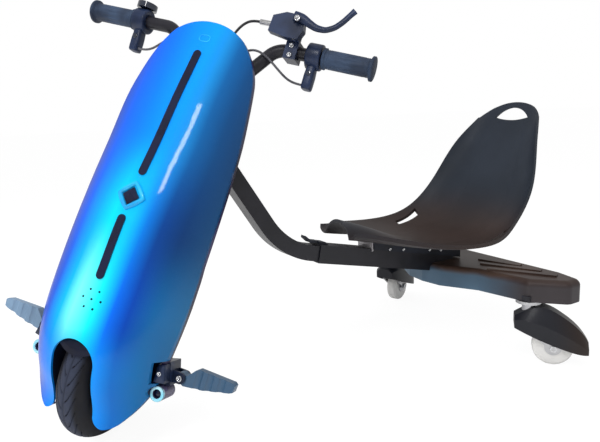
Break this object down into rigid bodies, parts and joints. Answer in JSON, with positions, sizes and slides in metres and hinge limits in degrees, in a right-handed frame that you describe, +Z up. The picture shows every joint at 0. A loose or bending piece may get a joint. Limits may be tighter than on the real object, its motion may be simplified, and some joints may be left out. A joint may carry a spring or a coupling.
{
  "type": "electric drift kart",
  "caption": "Low electric drift kart: steered motor wheel under a tall curved fairing, telescoping frame, bucket seat and swivelling rear casters.",
  "frame": {"origin": "on the floor under the centre of the front wheel, in the frame's plane of symmetry", "axes": "+X to the rider's left, +Y rearward, +Z up; the front end is parked steered towards +X"},
  "size_m": [0.5984, 1.1124, 0.7364],
  "materials": {
    "bezel": "gloss",
    "cable": "satin",
    "caster_pu": "satin",
    "deck_black": "satin",
    "frame_black": "satin",
    "grip": "matte",
    "hub": "satin",
    "lamp": "gloss",
    "lens": "gloss",
    "peg": "satin",
    "screen": "gloss",
    "seat_black": "satin",
    "shell_blue": "gloss",
    "steel": "satin",
    "trim_dark": "satin",
    "tyre": "matte"
  },
  "bodies": {
    "frame": {"main_tube": "frame_black", "tube_lock": "trim_dark", "clamp_lever": "trim_dark", "battery_case": "trim_dark", "deck": "deck_black", "rear_beam": "frame_black", "seat_bracket": "frame_black", "seat": "seat_black", "caster_socket_left": "steel", "caster_socket_right": "steel"},
    "neck": {"neck_tube": "frame_black", "head_tube": "frame_black"},
    "front_end": {"fork": "frame_black", "front_axle": "steel", "steering_column": "frame_black", "front_shell": "shell_blue", "back_shell": "trim_dark", "arch_liner": "trim_dark", "led_strip_upper": "lens", "led_strip_lower": "lens", "emblem_bezel": "bezel", "emblem_lens": "lens", "handlebar": "frame_black", "brake_lever_body": "trim_dark", "brake_lever_blade": "frame_black", "cable_adjuster": "steel", "display_pod": "screen", "grip_left": "grip", "grip_right": "grip", "control_left": "trim_dark", "control_right": "trim_dark", "peg_bracket_left": "frame_black", "peg_bracket_right": "frame_black", "lamp_left": "lamp", "lamp_right": "lamp", "brake_cable": "cable", "wire_left": "cable", "wire_right": "cable"},
    "front_wheel": {"front_tyre": "tyre", "hub_motor": "hub"},
    "peg_left": {"peg_left": "peg"},
    "peg_right": {"peg_right": "peg"},
    "caster_left": {"caster_fork_left": "frame_black", "caster_fender_left": "deck_black"},
    "caster_right": {"caster_fork_right": "frame_black", "caster_fender_right": "deck_black"},
    "caster_wheel_left": {"caster_tyre_left": "caster_pu", "caster_hub_left": "steel"},
    "caster_wheel_right": {"caster_tyre_right": "caster_pu", "caster_hub_right": "steel"}
  },
  "joints": [
    {"name": "length_slide", "type": "slide", "parent": "frame", "child": "neck", "axis": [0, -0.974, 0.2267], "range_m": [0, 0.08]},
    {"name": "steering", "type": "hinge", "parent": "neck", "child": "front_end", "pos_m": [0, 0, 0.11879], "axis": [0, 0.3746, 0.9272], "range_deg": [-113.74, 26.26]},
    {"name": "front_wheel_spin", "type": "hinge", "parent": "front_end", "child": "front_wheel", "pos_m": [0, 0, 0.11879], "axis": [0.7225, 0.641, -0.259], "continuous": true},
    {"name": "peg_left_fold", "type": "hinge", "parent": "front_end", "child": "peg_left", "pos_m": [0.10498, 0.08161, 0.11171], "axis": [0.6914, -0.6699, 0.2706], "range_deg": [0, 75]},
    {"name": "peg_right_fold", "type": "hinge", "parent": "front_end", "child": "peg_right", "pos_m": [-0.08286, -0.08506, 0.17905], "axis": [-0.6914, 0.6699, -0.2706], "range_deg": [0, 75]},
    {"name": "caster_left_swivel", "type": "hinge", "parent": "frame", "child": "caster_left", "pos_m": [0.218, 0.752, 0.1], "axis": [0, 0, 1], "continuous": true},
    {"name": "caster_right_swivel", "type": "hinge", "parent": "frame", "child": "caster_right", "pos_m": [-0.218, 0.752, 0.1], "axis": [0, 0, 1], "continuous": true},
    {"name": "caster_left_spin", "type": "hinge", "parent": "caster_left", "child": "caster_wheel_left", "pos_m": [0.25218, 0.78278, 0.038], "axis": [0.6691, -0.7431, 0], "continuous": true},
    {"name": "caster_right_spin", "type": "hinge", "parent": "caster_right", "child": "caster_wheel_right", "pos_m": [-0.23671, 0.79402, 0.038], "axis": [0.9135, 0.4067, 0], "continuous": true}
  ]
}
